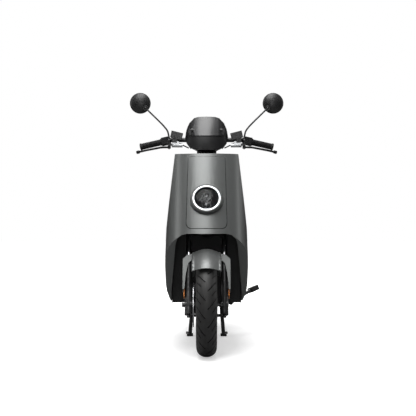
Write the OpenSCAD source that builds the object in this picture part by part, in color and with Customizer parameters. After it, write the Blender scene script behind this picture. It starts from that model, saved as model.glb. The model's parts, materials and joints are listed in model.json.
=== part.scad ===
// Electric moped scooter, standing on its centre stand.
// Frame: +Z up, front of the scooter towards -Y, rider's left towards +X.
// Origin: on the ground, midway along the overall length. Millimetres.

/* [Overall] */
// Length from the front tyre to the end of the rear mudguard
overall_len = 1820; // [1740:5:1900]
// Distance between the wheel axles
wheelbase = 1280; // [1230:5:1330]

/* [Front wheel] */
// Front tyre outer diameter
front_tyre_d = 467; // [450:1:475]
// Front tyre section width
front_tyre_w = 92; // [80:1:96]
// Bead seat diameter of both rims
rim_seat_d = 305; // [295:1:312]
// Front brake disc diameter
front_disc_d = 200; // [170:1:206]
// Front axle diameter
front_axle_d = 15; // [12:1:20]

/* [Rear wheel] */
// Rear tyre outer diameter
rear_tyre_d = 473; // [455:1:480]
// Rear tyre section width
rear_tyre_w = 118; // [100:1:124]
// Rear brake disc diameter
rear_disc_d = 180; // [150:1:190]
// Gap under the rear tyre when the centre stand carries the scooter
rear_lift = 4; // [2:0.5:12]
// Rear axle diameter
rear_axle_d = 16; // [12:1:20]

/* [Fork and steering] */
// Steering head angle from the vertical
rake = 26; // [24:0.5:28]
// Ground trail of the front wheel
trail = 85; // [75:1:95]
// Spacing between the fork leg centres
fork_spacing = 162; // [158:1:168]
// Diameter of the chromed stanchions
stanchion_d = 27; // [24:0.5:30]
// Diameter of the lower fork legs
slider_d = 36; // [34:0.5:38]
// Diameter of the steering stem
stem_d = 25.4; // [22:0.1:28]
// Height of the handlebar's middle above the ground
bar_z = 1000; // [990:1:1010]
// Diameter of the handlebar tube
bar_d = 22; // [20:0.5:24]
// Half width to the handlebar's ends
bar_reach = 318; // [300:1:330]
// Outer diameter of the grips
grip_d = 31; // [28:0.5:34]

/* [Bodywork] */
// Wall of the moulded panels
wall = 3.5; // [2.5:0.5:4]
// Height of the front shield's top
shield_top = 925; // [915:1:930]
// Height of the wheel arch's lip
arch_z = 553; // [550:1:560]
// Height of the floorboard
floor_z = 365; // [360:1:372]
// Height of the seat pan's underside
seat_z = 693; // [691:1:700]
// Gap between neighbouring panels
panel_gap = 0.8; // [0.4:0.1:1]

/* [Headlight] */
// Outer diameter of the headlight bezel
bezel_d = 150; // [140:1:154]
// Outer diameter of the light ring
ring_d = 131; // [122:1:134]
// Radial width of the light ring
ring_w = 11; // [8:0.5:14]

/* [Mirrors] */
// Diameter of a mirror head
mirror_d = 101; // [90:1:110]
// Distance from the middle to a mirror's centre
mirror_x = 322; // [300:1:330]
// Height of a mirror's centre
mirror_z = 1178; // [1160:1:1190]
// Diameter of a mirror stem
mirror_stem_d = 8; // [6:0.5:9]

/* [Hidden] */
$fn = 48;
slip = 0.4;       // gap between fixed pieces that seat on each other
run_fit = 0.05;   // radial running clearance at shafts and pins

paint = "dimgray";
black = [0.08, 0.08, 0.09];
satin_black = [0.13, 0.13, 0.14];
rubber = [0.05, 0.05, 0.05];
alloy = [0.75, 0.76, 0.78];
steel = [0.6, 0.6, 0.62];

front_y = -(overall_len / 2 - front_tyre_d / 2);
front_axle = [0, front_y, front_tyre_d / 2];
rear_axle = [0, front_y + wheelbase, rear_tyre_d / 2 + rear_lift];
tail_y = overall_len / 2;

// Steering frame: t runs back across the steering axis, h runs up along it.
steer_y0 = front_y - trail;
axle_t = trail * cos(rake) - front_axle.z * sin(rake);
axle_h = trail * sin(rake) + front_axle.z * cos(rake);
fork_x = fork_spacing / 2;
fork_travel = 60;
slider_bottom_h = axle_h - 47;
slider_top_h = axle_h + 231;
yoke_h = axle_h + 353;
yoke_t = 32;      // thickness of the lower yoke
head_low_h = yoke_h + 55;
head_high_h = head_low_h + 190;
head_r = 27;
bearing_r = 22;
bearing_l = 14;

bar_y = -283;
bend_x = 170;
bar_tip = [bar_reach, bar_y + 25, bar_z - 32];
pod_start = 8;    // along the bar's end stretch from the bend
pod_len = 40;
grip_start = pod_start + pod_len + 1;

rim_w2 = 31;      // half width between the front rim's flanges
rear_rim_w2 = 42; // the same at the rear
flange = 10;
disc_x = -58.8;
disc_t = 3.5;
rear_disc_x = -62;
rear_disc_t = 4;

pivot = [0, 315, 300];      // swingarm pivot
arm_x = 88;
arm_r = 16;
shock_x = 114;
shock_top = [0, 470, 580];
shock_low = [0, 565, 262];
arm_lug_z = 272;     // seat of the rear caliper
stand_pivot = [0, 190, 205];
side_pivot = [125, 40, 188];
side_leg = [120, 195, 52];        // folded
side_leg_down = [150, -70, -166]; // deployed

rail_x = 112;
rail_r = 14;
rail_z = 250;
tub_x = 96;
tub_front = -318;
tub_back = 66;
floor_front = -335;
floor_back = 200;
deck_back = 150;
deck_t = 4;
liner_x = 160;

// ---------- helpers ----------

function steer_pt(x, t, h) =
    [x, steer_y0 + t * cos(rake) + h * sin(rake), h * cos(rake) - t * sin(rake)];
function flip(p) = [-p.x, p.y, p.z];
function mirrored(half) = concat(half, [for (i = [len(half) - 1 : -1 : 0]) [-half[i].x, half[i].y]]);

module at_steer() translate([0, steer_y0, 0]) rotate([-rake, 0, 0]) children();
module both() {
    children();
    mirror([1, 0, 0]) children();
}
module along(a, b) {
    v = b - a;
    translate(a) rotate([0, acos(v.z / norm(v)), atan2(v.y, v.x)]) children();
}
module rod(a, b, r) along(a, b) cylinder(r = r, h = norm(b - a));
module bent_rod(pts, r) {
    for (i = [0 : len(pts) - 2]) rod(pts[i], pts[i + 1], r);
    // a ball at a slight bend and a boss across a sharp one, big enough to hold the crease
    for (i = [1 : len(pts) - 2]) {
        u = pts[i] - pts[i - 1];
        v = pts[i + 1] - pts[i];
        bend = acos(u * v / norm(u) / norm(v));
        big = 1.02 * r / cos(bend / 2);
        side = cross(u, v) * 1.03 * r / norm(cross(u, v));
        if (bend < 50) along(pts[i], pts[i + 1]) sphere(r = big);
        else rod(pts[i] - side, pts[i] + side, big);
    }
}
module cross_pin(p, x0, x1, r) translate([x0, p.y, p.z]) rotate([0, 90, 0]) cylinder(r = r, h = x1 - x0);
module about_x(p) translate(p) rotate([0, 90, 0]) children();
module block(x, y, z) translate([x[0], y[0], z[0]]) cube([x[1] - x[0], y[1] - y[0], z[1] - z[0]]);
// A front-view outline (x, z) carried from y0 to y1.
module front_prism(pts, y0, y1) translate([0, y1, 0]) rotate([90, 0, 0]) linear_extrude(height = y1 - y0) polygon(pts);
// A side-view outline (y, z) carried across from -w to w.
module side_prism(pts, w) translate([-w, 0, 0]) rotate([90, 0, 90]) linear_extrude(height = 2 * w) polygon(pts);
// A plan outline (x, y) carried from z0 to z1.
module plan_prism(pts, z0, z1) translate([0, 0, z0]) linear_extrude(height = z1 - z0) polygon(pts);

// ---------- wheels ----------

// Tyre section as (radius, x): an oval carcass whose crown is flat over its middle step.
function tyre_side(rc, hh, w2, p) = [for (a = [-125 : 10 : 125])
    [rc + hh * cos(a) / cos(5), w2 * sign(sin(a)) * pow(abs(sin(a)), p)]];
function reversed(v) = [for (i = [len(v) - 1 : -1 : 0]) v[i]];
module tyre(d, w, seat_w2, p) {
    rs = rim_seat_d / 2;
    rc = (d / 2 + rs) / 2;
    hh = (d / 2 - rs) / 2;
    bead = seat_w2 - 0.6;
    rotate([0, 90, 0]) rotate_extrude($fn = 96) polygon(concat(
        [[rs + slip, -bead + 12], [rs + slip, -bead], [rs + flange + 1.2, -bead]],
        tyre_side(rc, hh, w / 2, p),
        [[rs + flange + 1.2, bead], [rs + slip, bead], [rs + slip, bead - 12]],
        reversed(tyre_side(rc, hh - 9, w / 2 - 8, p))));
}
module rim_barrel(w2) {
    rs = rim_seat_d / 2;
    half = [[rs - 20, w2 - 17], [rs - 5, w2 - 12], [rs - 4, w2 + 3], [rs + flange, w2 + 3],
        [rs + flange, w2], [rs, w2], [rs, w2 - 14], [rs - 16, w2 - 20]];
    rotate([0, 90, 0]) rotate_extrude($fn = 96)
        polygon(concat(half, [for (i = [len(half) - 1 : -1 : 0]) [half[i].x, -half[i].y]]));
}
// Tapered spokes from the hub to the barrel.
module spokes(n, hub_r, tip_r, thick) for (i = [0 : n - 1]) rotate([i * 360 / n, 0, 0])
    rotate([0, 90, 0]) translate([0, 0, -thick / 2]) linear_extrude(height = thick)
        polygon([[-tip_r, -7], [-tip_r, 7], [-hub_r, 8], [-hub_r, -8]]);

module front_tyre() color(rubber) translate(front_axle) tyre(front_tyre_d, front_tyre_w, rim_w2, 0.95);
module front_rim() color(satin_black) translate(front_axle) difference() {
    union() {
        rim_barrel(rim_w2);
        spokes(10, 28, rim_seat_d / 2 - 18, 20);
        translate([-13, 0, 0]) rotate([0, 90, 0]) cylinder(r = 34, h = 26);
        translate([-50, 0, 0]) rotate([0, 90, 0]) cylinder(r = 28, h = 100);
        translate([disc_x + disc_t / 2 + slip, 0, 0]) rotate([0, 90, 0]) cylinder(r = 40, h = 10);
    }
    translate([-70, 0, 0]) rotate([0, 90, 0]) cylinder(r = front_axle_d / 2 + run_fit, h = 140);
}
module brake_disc(d, t, hub_r) rotate([0, 90, 0]) difference() {
    translate([0, 0, -t / 2]) cylinder(r = d / 2, h = t, $fn = 96);
    translate([0, 0, -t]) cylinder(r = hub_r, h = 2 * t);
    for (a = [0 : 30 : 330]) rotate(a) translate([d / 2 - 12, 0, -t]) cylinder(r = 4, h = 2 * t);
    for (a = [0 : 60 : 300]) rotate(a) translate([d / 2 - 37, 0, -t]) cylinder(r = 12, h = 2 * t);
}
module front_disc() color(steel) translate(front_axle + [disc_x, 0, 0])
    brake_disc(front_disc_d, disc_t, 22);

module rear_tyre() color(rubber) translate(rear_axle) tyre(rear_tyre_d, rear_tyre_w, rear_rim_w2, 0.8);
module hub_motor() color(satin_black) translate(rear_axle) difference() {
    union() {
        rim_barrel(rear_rim_w2);
        spokes(10, 108, rim_seat_d / 2 - 18, 26);
        translate([-44, 0, 0]) rotate([0, 90, 0]) cylinder(r = 112, h = 88);
        translate([-54, 0, 0]) rotate([0, 90, 0]) cylinder(r = 46, h = 108);
        translate([rear_disc_x + rear_disc_t / 2 + slip, 0, 0]) rotate([0, 90, 0]) cylinder(r = 38, h = 12);
    }
    translate([-70, 0, 0]) rotate([0, 90, 0]) cylinder(r = rear_axle_d / 2 + run_fit, h = 140);
}
module rear_disc() color(steel) translate(rear_axle + [rear_disc_x, 0, 0])
    brake_disc(rear_disc_d, rear_disc_t, 22);

// ---------- fork ----------

module at_leg(s) at_steer() translate([s * fork_x, axle_t, 0]) children();

module fork_lowers() color(satin_black) {
    difference() {
        both() difference() {
            union() {
                at_leg(1) translate([0, 0, slider_bottom_h]) cylinder(r = slider_d / 2, h = slider_top_h - slider_bottom_h);
                at_leg(1) translate([0, 0, slider_bottom_h - 12]) cylinder(r = 8, h = 13);
                at_leg(1) translate([0, 0, slider_top_h - 22]) cylinder(r = slider_d / 2 + 2.5, h = 22);
                cross_pin(front_axle, fork_x - 14, fork_x + 17, 17);
                for (h = [330, 450]) at_steer() translate([fork_x + 10, axle_t, h]) rotate([0, 90, 0])
                    cylinder(r = 8, h = 13.7);
            }
            at_leg(1) translate([0, 0, slider_bottom_h + 72])
                cylinder(r = stanchion_d / 2 + run_fit, h = slider_top_h);
        }
        cross_pin(front_axle, -fork_x - 40, fork_x + 40, front_axle_d / 2 + run_fit);
    }
    // axle with its head and nut
    color(steel) {
        cross_pin(front_axle, -fork_x - 28, fork_x + 19, front_axle_d / 2);
        cross_pin(front_axle, -fork_x - 30, -fork_x - 17 - slip, 10);
    }
}
module fork_stanchions() color(alloy) both() at_leg(1)
    translate([0, 0, slider_bottom_h + 72 + fork_travel + 10])
        cylinder(r = stanchion_d / 2, h = yoke_h + yoke_t - slider_bottom_h - 72 - fork_travel - 10);

module fork_yoke() color(satin_black) at_steer() difference() {
    union() {
        both() translate([fork_x, axle_t, yoke_h]) cylinder(r = stanchion_d / 2 + 8, h = yoke_t);
        translate([-fork_x, axle_t - 14, yoke_h + 4]) cube([fork_spacing, 50, yoke_t - 8]);
        translate([0, 0, yoke_h]) cylinder(r = 25, h = yoke_t);
        translate([0, 0, yoke_h]) cylinder(r = stem_d / 2, h = bar_h - 16 - yoke_h);
    }
    both() translate([fork_x, axle_t, yoke_h - 1]) cylinder(r = stanchion_d / 2 + run_fit, h = yoke_t + 2);
}
bar_h = (bar_y - steer_y0) * sin(rake) + bar_z * cos(rake);
bar_t = (bar_y - steer_y0) * cos(rake) - bar_z * sin(rake);

// Section of a fender as (radius, x): half is (half width, drop below the crown) from the lip up.
function fender_in(r, half, t) = [for (i = [0 : len(half) - 1])
    let (k = i == 0 ? [t, 0] : i == len(half) - 1 ? [0, t] : [0.7 * t, 0.7 * t])
    [r - half[i].y - k.y, half[i].x - k.x]];
function fender_out(r, half) = [for (p = half) [r - p.y, p.x]];
function other_side(v) = [for (i = [len(v) - 1 : -1 : 0]) [v[i].x, -v[i].y]];
module fender_sweep(r, half, t, a0, a1) rotate([0, 90, 0]) rotate_extrude(angle = a1 - a0, start = a0, $fn = 96)
    polygon(concat(fender_out(r, half), other_side(fender_out(r, half)),
        reversed(concat(fender_in(r, half, t), other_side(fender_in(r, half, t))))));
fender_arm_x = 108.5;
module front_fender() color(paint) {
    difference() {
        translate(front_axle) fender_sweep(front_tyre_d / 2 + 19,
            [[66, 22], [62, 12], [48, 4.5], [30, 1.2], [10, 0]], 3, 120, 226);
        both() at_leg(1) translate([0, 0, 300]) cylinder(r = slider_d / 2 + 6, h = 400);
    }
    // arms that pass in front of the legs and run down beside them
    both() at_steer() union() {
        translate([0, axle_t - 23, 0]) rotate([90, 0, 0]) linear_extrude(height = 4)
            polygon([[54, 490], [86, 484], [fender_arm_x, 461], [fender_arm_x, 313], [fender_arm_x - 8, 313], [fender_arm_x - 15, 392], [84, 441], [70, 453], [54, 455]]);
        translate([fender_arm_x - 3.5, axle_t - 25, 313]) cube([3.5, 42, 146]);
    }
}
module fork_reflectors() color("orange") both() at_steer()
    translate([fork_x + 23.7 - 5.2, axle_t - 20, 282]) cube([4.4, 34, 40]);

module front_caliper() color(satin_black) difference() {
    at_steer() {
        translate([disc_x - 17, axle_t + 26, axle_h + 54]) cube([34, 44, 60]);
        translate([disc_x - 17, axle_t + 18, axle_h + 66]) cube([10, 9, 36]);
    }
    cross_pin(front_axle, disc_x - disc_t / 2 - 1.2, disc_x + disc_t / 2 + 1.2, front_disc_d / 2 + 2);
}

// ---------- handlebar and controls ----------

module at_bar_end(s) along([s * bend_x, bar_y, bar_z], [s * bar_tip.x, bar_tip.y, bar_tip.z]) children();
bar_end_len = norm([bar_tip.x - bend_x, bar_tip.y - bar_y, bar_tip.z - bar_z]);

module handlebar() color(satin_black) {
    difference() {
        union() {
            bent_rod([flip(bar_tip), [-bend_x, bar_y, bar_z], [bend_x, bar_y, bar_z], bar_tip], bar_d / 2);
            at_steer() translate([0, 0, bar_h - 58]) cylinder(r = 18, h = 52);
        }
        at_steer() translate([0, 0, bar_h - 70]) cylinder(r = stem_d / 2 + run_fit, h = 55);
    }
}
module grip_body() difference() {
    union() {
        translate([0, 0, grip_start]) cylinder(r = grip_d / 2, h = bar_end_len + 5 - grip_start);
        translate([0, 0, grip_start]) cylinder(r = grip_d / 2 + 3, h = 5);
        translate([0, 0, bar_end_len - 1]) cylinder(r = grip_d / 2 + 2, h = 6);
    }
    translate([0, 0, grip_start - 1]) cylinder(r = bar_d / 2 + 0.1, h = bar_end_len + 1.5 - grip_start);
}
module grip_left() color(rubber) at_bar_end(1) grip_body();
module throttle_grip() color(rubber) at_bar_end(-1) grip_body();

button_s = pod_start + 22;
module switch_pods() color(satin_black) for (s = [1, -1]) at_bar_end(s) difference() {
    union() {
        translate([0, 0, pod_start]) cylinder(r = 21, h = pod_len);
        translate([-19, -s * 4 - 22, pod_start + 3]) cube([34, 44, pod_len - 6]);
    }
    translate([0, 0, pod_start - 1]) cylinder(r = bar_d / 2 + 0.1, h = pod_len + 2);
    translate([0, s * 13, button_s]) rotate([-s * 90, 0, 0]) cylinder(r = 7.3, h = 20);
}
module thumb_button(s) at_bar_end(s) translate([0, s * 16.5, button_s]) rotate([-s * 90, 0, 0]) cylinder(r = 7, h = 7);
module horn_button() color("gold") thumb_button(1);
module start_button() color("crimson") thumb_button(-1);

lever_pin = [180, -336, 962];
mirror_foot = [181, -320, 988];
module brake_masters() color(satin_black) both() {
    difference() {
        union() {
            cross_pin([0, bar_y, bar_z], 143, 165, 17);
            block([143, 165], [-338, -292], [984, 1004]);
            translate([145, -324, 1018]) rotate([0, -14, 0]) translate([-28, -19, -14]) cube([56, 38, 32]);
            cross_pin([0, -325, 972], 116, 168, 10.5);
            block([132, 165], [-336, -314], [972, 990]);
            translate([mirror_foot.x, mirror_foot.y, 972]) cylinder(r = 9, h = 26);
            block([163, 186], [-344, -312], [970, 978]);
        }
        cross_pin([0, bar_y, bar_z], 130, 180, bar_d / 2 + 0.1);
        translate(mirror_foot) cylinder(r = mirror_stem_d / 2 + run_fit, h = 30);
    }
    translate([lever_pin.x, lever_pin.y, lever_pin.z - 10]) cylinder(r = 3, h = 20);
}
module lever_arm() difference() {
    union() {
        translate(lever_pin - [0, 0, 7]) cylinder(r = 8, h = 14);
        bent_rod([lever_pin, [218, -352, 960], [290, -340, 947], [330, -322, 939]], 5);
        rod([324, -325, 940.2], [336, -319, 937.8], 8);
    }
    translate(lever_pin - [0, 0, 20]) cylinder(r = 3 + run_fit, h = 40);
}
module brake_lever_left() color(satin_black) lever_arm();
module brake_lever_right() color(satin_black) mirror([1, 0, 0]) lever_arm();

mirror_ball = [mirror_x - 27, -303, mirror_z - 25];
mirror_plane = -279;
module mirror_stems() color(satin_black) both() {
    bent_rod([mirror_foot + [0, 0, 0.3], mirror_foot + [0, 0, 18], [190, -318, 1050],
        mirror_ball], mirror_stem_d / 2);
    translate(mirror_ball) sphere(r = 7);
}
// Shell dome with a flat glass let into its open side.
module mirror_head() {
    r = mirror_d / 2;
    difference() {
        union() {
            translate([mirror_x, mirror_plane, mirror_z]) rotate([90, 0, 0]) rotate_extrude($fn = 72)
                polygon([[r, 0], [r, 6], [r - 4, 12], [r - 12, 18], [r - 24, 23], [0, 27], [0, 23.5],
                    [r - 25, 19.5], [r - 14, 14.5], [r - 7, 8], [r - 4, 4], [r - 4, 0]]);
            translate([mirror_ball.x, -297, mirror_ball.z]) rotate([-90, 0, 0]) cylinder(r = 9, h = 9);
        }
        translate(mirror_ball) sphere(r = 7 + 0.15);
    }
    translate([mirror_x, mirror_plane - 3.6, mirror_z]) rotate([-90, 0, 0]) cylinder(r = r - 4.4, h = 3, $fn = 72);
}
module mirror_head_left() color(black) mirror_head();
module mirror_head_right() color(black) mirror([1, 0, 0]) mirror_head();

// ---------- dash ----------

cowl_half = [[0, 943], [47, 943], [78, 957], [98, 985], [105, 1016], [99, 1050], [84, 1084], [62, 1105], [0, 1110]];
function inset_half(half, i) = [for (p = half) [max(0, p.x - i), p.y + (p.y > 1016 ? -i : i)]];
function outline(half) = concat(half, [for (k = [len(half) - 2 : -1 : 1]) [-half[k].x, half[k].y]]);
function cowl_side(i) = [[-420, 944 + i], [-274 - i, 944 + i], [-238 - i, 985], [-238 - i, 1045],
    [-292 - i, 1108 - i], [-420, 1108 - i]];
cowl_t = 110;
function bow(t0, depth, half_w, n) =
    [for (k = [-n : n]) [half_w * k / n, t0 + depth * pow(abs(k / n), 2)]];
module steer_prism(pts, h0, h1) at_steer() translate([0, 0, h0]) linear_extrude(height = h1 - h0) polygon(pts);
module cowl_block(i) intersection() {
    front_prism(outline(inset_half(cowl_half, i)), -460, -200);
    side_prism(cowl_side(i), 120);
    steer_prism(concat(bow(-cowl_t + i, 45, 115, 6), [[115, 160], [-115, 160]]), 800, 1300);
}
module dash_housing() color(satin_black) difference() {
    union() {
        cowl_block(0);
        at_steer() translate([0, 0, 1022]) cylinder(r = 47, h = 36);
    }
    cowl_block(3);
    cross_pin([0, bar_y, bar_z], -130, 130, bar_d / 2 + slip);
    at_steer() translate([0, 0, 1000]) cylinder(r = 20, h = 70);
    translate([0, -265, 1076.5]) rotate([-49.4, 0, 0]) translate([-50, -30, -8]) cube([100, 60, 30]);
}
module dash_display() color("black") translate([0, -265, 1076.5]) rotate([-49.4, 0, 0])
    translate([-50 + slip, -30 + slip, -5]) cube([100 - 2 * slip, 60 - 2 * slip, 4]);
screen_half = [[0, 1008], [70, 1008], [82, 1014], [87, 1030], [84, 1055], [74, 1083], [60, 1100], [40, 1106], [0, 1107]];
module flyscreen() color([0.2, 0.2, 0.21]) {
    difference() {
        intersection() {
            front_prism(outline(screen_half), -460, -300);
            steer_prism(concat(bow(-cowl_t - slip - 3, 45, 115, 6), reversed(bow(-cowl_t - slip, 45, 115, 6))), 900, 1300);
        }
        both() screen_screw(0.3);
    }
    both() screen_screw(0);
}
module screen_screw(g) at_steer() translate([70, -cowl_t - slip + 13.5, bar_h + 40]) rotate([90, 0, 0])
    cylinder(r = 6 + g, h = 8);

module brake_hoses() color(rubber) both() rod([114.2, -325, 972], [86, -334, 958], 3);

// ---------- front bodywork ----------

// Half of the front view's outer outline, from the bottom up, taken in by i.
function shell_half(i) = [[162 - i, 220 + 0.4 * i], [175 - i, 248], [186 - i, 281], [190 - i, 314], [192 - i, 400],
    [187 - i, 575], [174 - i, 708], [150 - i, shield_top - i]];
function shell_outline(i, low) = mirrored(concat(low, shell_half(i)));
shield_lead = 158;
inner_top_y = -250;
panel_edge_t = -140;
function plan_half(i) = [for (k = [0 : 5]) [92 * k / 5, -shield_lead + i + (shield_lead + panel_edge_t) * pow(k / 5, 2)]];
cheek_plan = [[112, -131], [130, -120], [146, -107], [160, -91], [172, -73], [182, -52], [189, -28], [194, 0], [194, 420]];
function shield_plan(i) = let (r = concat(plan_half(i), [for (p = cheek_plan) [p.x - i * (p.x - 92) / 102, p.y + i * (194 - p.x) / 102]]))
    concat([for (k = [len(r) - 1 : -1 : 1]) [-r[k].x, r[k].y]], r);
// Side view: the lower front edge runs back behind the wheel.
function shield_side(back, top, low, lip) = [[-800, arch_z - 8], [-800, top], [inner_top_y + back, top], [floor_front + back, floor_z],
    [floor_front + back, low], [-440 + lip, low], [-500 + lip, 330], [-560 + lip, 440], [-640 + lip, arch_z - 8]];
module shield_block(i, back) intersection() {
    front_prism(shell_outline(i, []), -900, 0);
    side_prism(shield_side(back, shield_top - i, 220, i * 1.4), 200);
    steer_prism(shield_plan(i), 0, 1200);
}
arch_half = [[0, arch_z], [90, arch_z], [114, arch_z - 6], [134, arch_z - 24], [142, arch_z - 50], [166, 267], [168, 150]];
module arch_prism() front_prism(concat([for (k = [len(arch_half) - 1 : -1 : 1]) [-arch_half[k].x, arch_half[k].y]],
    arch_half), -900, floor_front - 20);
window_top = 912;
module panel_window(g) front_prism(mirrored([[72 - g, 577 + g], [86 - g, 583 + g], [93 - g, 600],
    [86 - g, window_top - g]]), -800, -380);

lamp_h = 711.5;
module at_lamp() at_steer() translate([0, -shield_lead, lamp_h]) rotate([90, 0, 0]) children();

module shield_skin() difference() {
    shield_block(0, 0);
    shield_block(wall, 30);
    arch_prism();
}
module front_shield() color(paint) difference() {
    shield_skin();
    panel_window(0);
    at_steer() translate([0, 0, 900]) cylinder(r = 50, h = 200);
}
module centre_panel() color(paint) difference() {
    intersection() {
        shield_skin();
        panel_window(panel_gap);
    }
    at_lamp() translate([0, 0, -40]) cylinder(r = bezel_d / 2 + panel_gap, h = 80);
}
module headlight_bezel() color(paint) at_lamp() rotate_extrude($fn = 96) polygon([[ring_d / 2 + slip, -12],
    [bezel_d / 2, -12], [bezel_d / 2, 4], [bezel_d / 2 - 2.5, 15], [bezel_d / 2 - 6, 19], [ring_d / 2 + slip, 19]]);
module light_ring() color("white") at_lamp() rotate_extrude($fn = 96) polygon([[ring_d / 2 - ring_w, 6],
    [ring_d / 2, 6], [ring_d / 2, 17], [ring_d / 2 - 3, 20.5], [ring_d / 2 - ring_w + 3, 20.5], [ring_d / 2 - ring_w, 17]]);
module headlight_housing() color(black) at_lamp() {
    rotate_extrude($fn = 96) polygon([[0, -66], [38, -66], [ring_d / 2, -30], [ring_d / 2, 5.6],
        [ring_d / 2 - ring_w - 4, 5.6], [ring_d / 2 - ring_w - 4, -26], [34, -58], [0, -58]]);
    for (v = [22, -22]) translate([0, v, -57.6]) cylinder(r = 20, h = 46);
}
module headlight_lens() color([0.9, 0.95, 1, 0.3]) at_lamp() rotate_extrude($fn = 96) polygon([[0, 16],
    [ring_d / 2 - ring_w - 14, 14.5], [ring_d / 2 - ring_w - slip, 10], [ring_d / 2 - ring_w - slip, 7], [ring_d / 2 - ring_w - 14, 11.5], [0, 13]]);

inner_slope = (inner_top_y - floor_front) / (shield_top - floor_z);
function inner_y(z) = floor_front + inner_slope * (z - floor_z);
key_at = [-72, inner_y(855), 855];
hook_at = [0, inner_y(700), 700];
module at_inner(p) translate(p) rotate([-atan(inner_slope), 0, 0]) children();
module inner_shield() color(satin_black) difference() {
    union() {
        intersection() {
            front_prism(shell_outline(wall + slip, [[184 - wall, floor_z + slip]]), -400, -200);
            side_prism([[floor_front - wall, floor_z + slip], [floor_front - slip, floor_z + slip],
                [inner_top_y - slip, shield_top - wall - slip], [inner_top_y - wall, shield_top - wall - slip]], 200);
            block([-200, 200], [-400, -200], [floor_z + slip, 1000]);
        }
        // ears that carry the bag hook's pin
        for (x = [-21, 15.5]) at_inner(hook_at) translate([x, -1, -10]) cube([5.5, 16, 20]);
    }
    at_inner(key_at) rotate([-90, 0, 0]) translate([0, 0, -20]) cylinder(r = 12 + slip, h = 40);
    at_inner(hook_at) translate([-30, 8, 0]) rotate([0, 90, 0]) cylinder(r = 3 + run_fit, h = 60);
}
module key_barrel() color(alloy) at_inner(key_at) rotate([-90, 0, 0]) difference() {
    union() {
        translate([0, 0, -22]) cylinder(r = 12, h = 26);
        translate([0, 0, 3]) cylinder(r = 15, h = 4);
    }
    translate([-1.2, -6, 4]) cube([2.4, 12, 5]);
}
module bag_hook() color(satin_black) at_inner(hook_at) {
    translate([-21, 8, 0]) rotate([0, 90, 0]) cylinder(r = 3, h = 42);
    translate([-14, 8, 0]) rotate([0, 90, 0]) cylinder(r = 6, h = 28);
    translate([-12, 4, -52]) cube([24, 7, 52]);
    translate([-12, 4, -52]) cube([24, 20, 7]);
}

// Black liner behind and beside the wheel; open at the top for the fork.
liner_side = [[-400, 222], [-412, 450], [-438, 566], [-442, 566], [-416.5, 450], [-404, 222]];
module wheel_arch_liner() color(black) {
    side_prism(liner_side, liner_x);
    both() translate([liner_x, 0, 0]) rotate([90, 0, 90]) linear_extrude(height = 3)
        polygon([[-400, 222], [-412, 450], [-438, 566], [-560, 524], [-545, 440], [-486, 330], [-430, 222]]);
}

// ---------- floor and battery ----------

lid_x = 88;
lid_front = -304;
lid_back = 54;
module floorboard() color(satin_black) {
    difference() {
        union() {
            difference() {
                block([-187, 187], [floor_front + slip, deck_back], [floor_z - deck_t, floor_z]);
                both() block([180, 200], [floor_front, -328], [300, 400]);
            }
            block([-tub_x, tub_x], [tub_front, tub_back], [205, floor_z - 1]);
        }
        block([-tub_x + 4, tub_x - 4], [tub_front + 4, tub_back - 4], [209, floor_z - deck_t - 4]);
        block([-lid_x, lid_x], [lid_front, lid_back], [floor_z - deck_t - 10, floor_z + 5]);
    }
    // hinge knuckles for the lid
    for (x = [-60, 50]) difference() {
        block([x, x + 10], [lid_front - 9, lid_front - 1.5], [floor_z - 0.5, floor_z + 6]);
        cross_pin([0, lid_front - 4.5, floor_z + 2.8], -70, 70, 1.6);
    }
}
module battery_lid() color(satin_black) {
    block([-lid_x + 1, lid_x - 1], [lid_front + 1, lid_back - 1], [floor_z - deck_t, floor_z + 1]);
    for (x = [-49.5, 29.5]) {
        block([x, x + 20], [lid_front - 5.5, lid_front + 5], [floor_z + 0.9, floor_z + 4.5]);
    }
    cross_pin([0, lid_front - 4.5, floor_z + 2.8], -60, 60, 1.5);
}
module floor_mat() color(rubber) {
    block([-lid_x + 3, lid_x - 3], [lid_front + 8, lid_back - 3], [floor_z + 1 + slip, floor_z + 4]);
    for (y = [lid_front + 20 : 14 : lid_back - 16])
        block([-lid_x + 10, lid_x - 10], [y, y + 7], [floor_z + 3.5, floor_z + 6]);
}
module battery_pack() color([0.25, 0.26, 0.28]) {
    difference() {
        block([-84, 84], [tub_front + 10, tub_back - 10], [209.4, 338]);
        for (x = [-84, 84]) block([x - 6, x + 6], [-210, -30], [250, 300]);
    }
    // carrying handle
    for (y = [-180, -66]) block([-8, 8], [y, y + 6], [337.5, 351]);
    block([-8, 8], [-180, -60], [347, 351]);
}
module side_skirts() color(paint) difference() {
    intersection() {
        difference() {
            front_prism(shell_outline(0, []), floor_front + panel_gap, floor_back);
            front_prism(shell_outline(wall, [[150, 100]]), floor_front - 1, floor_back + 1);
        }
        block([-200, 200], [floor_front, floor_back], [220, floor_z + 2]);
    }
    block([-154, 154], [floor_front - 5, floor_back + 5], [200, 400]);
}

// ---------- tail ----------

tail_z = seat_z - 4.2;
bin_x = 97.4;
seat_hinge = [0, 42, seat_z - 8];

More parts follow.
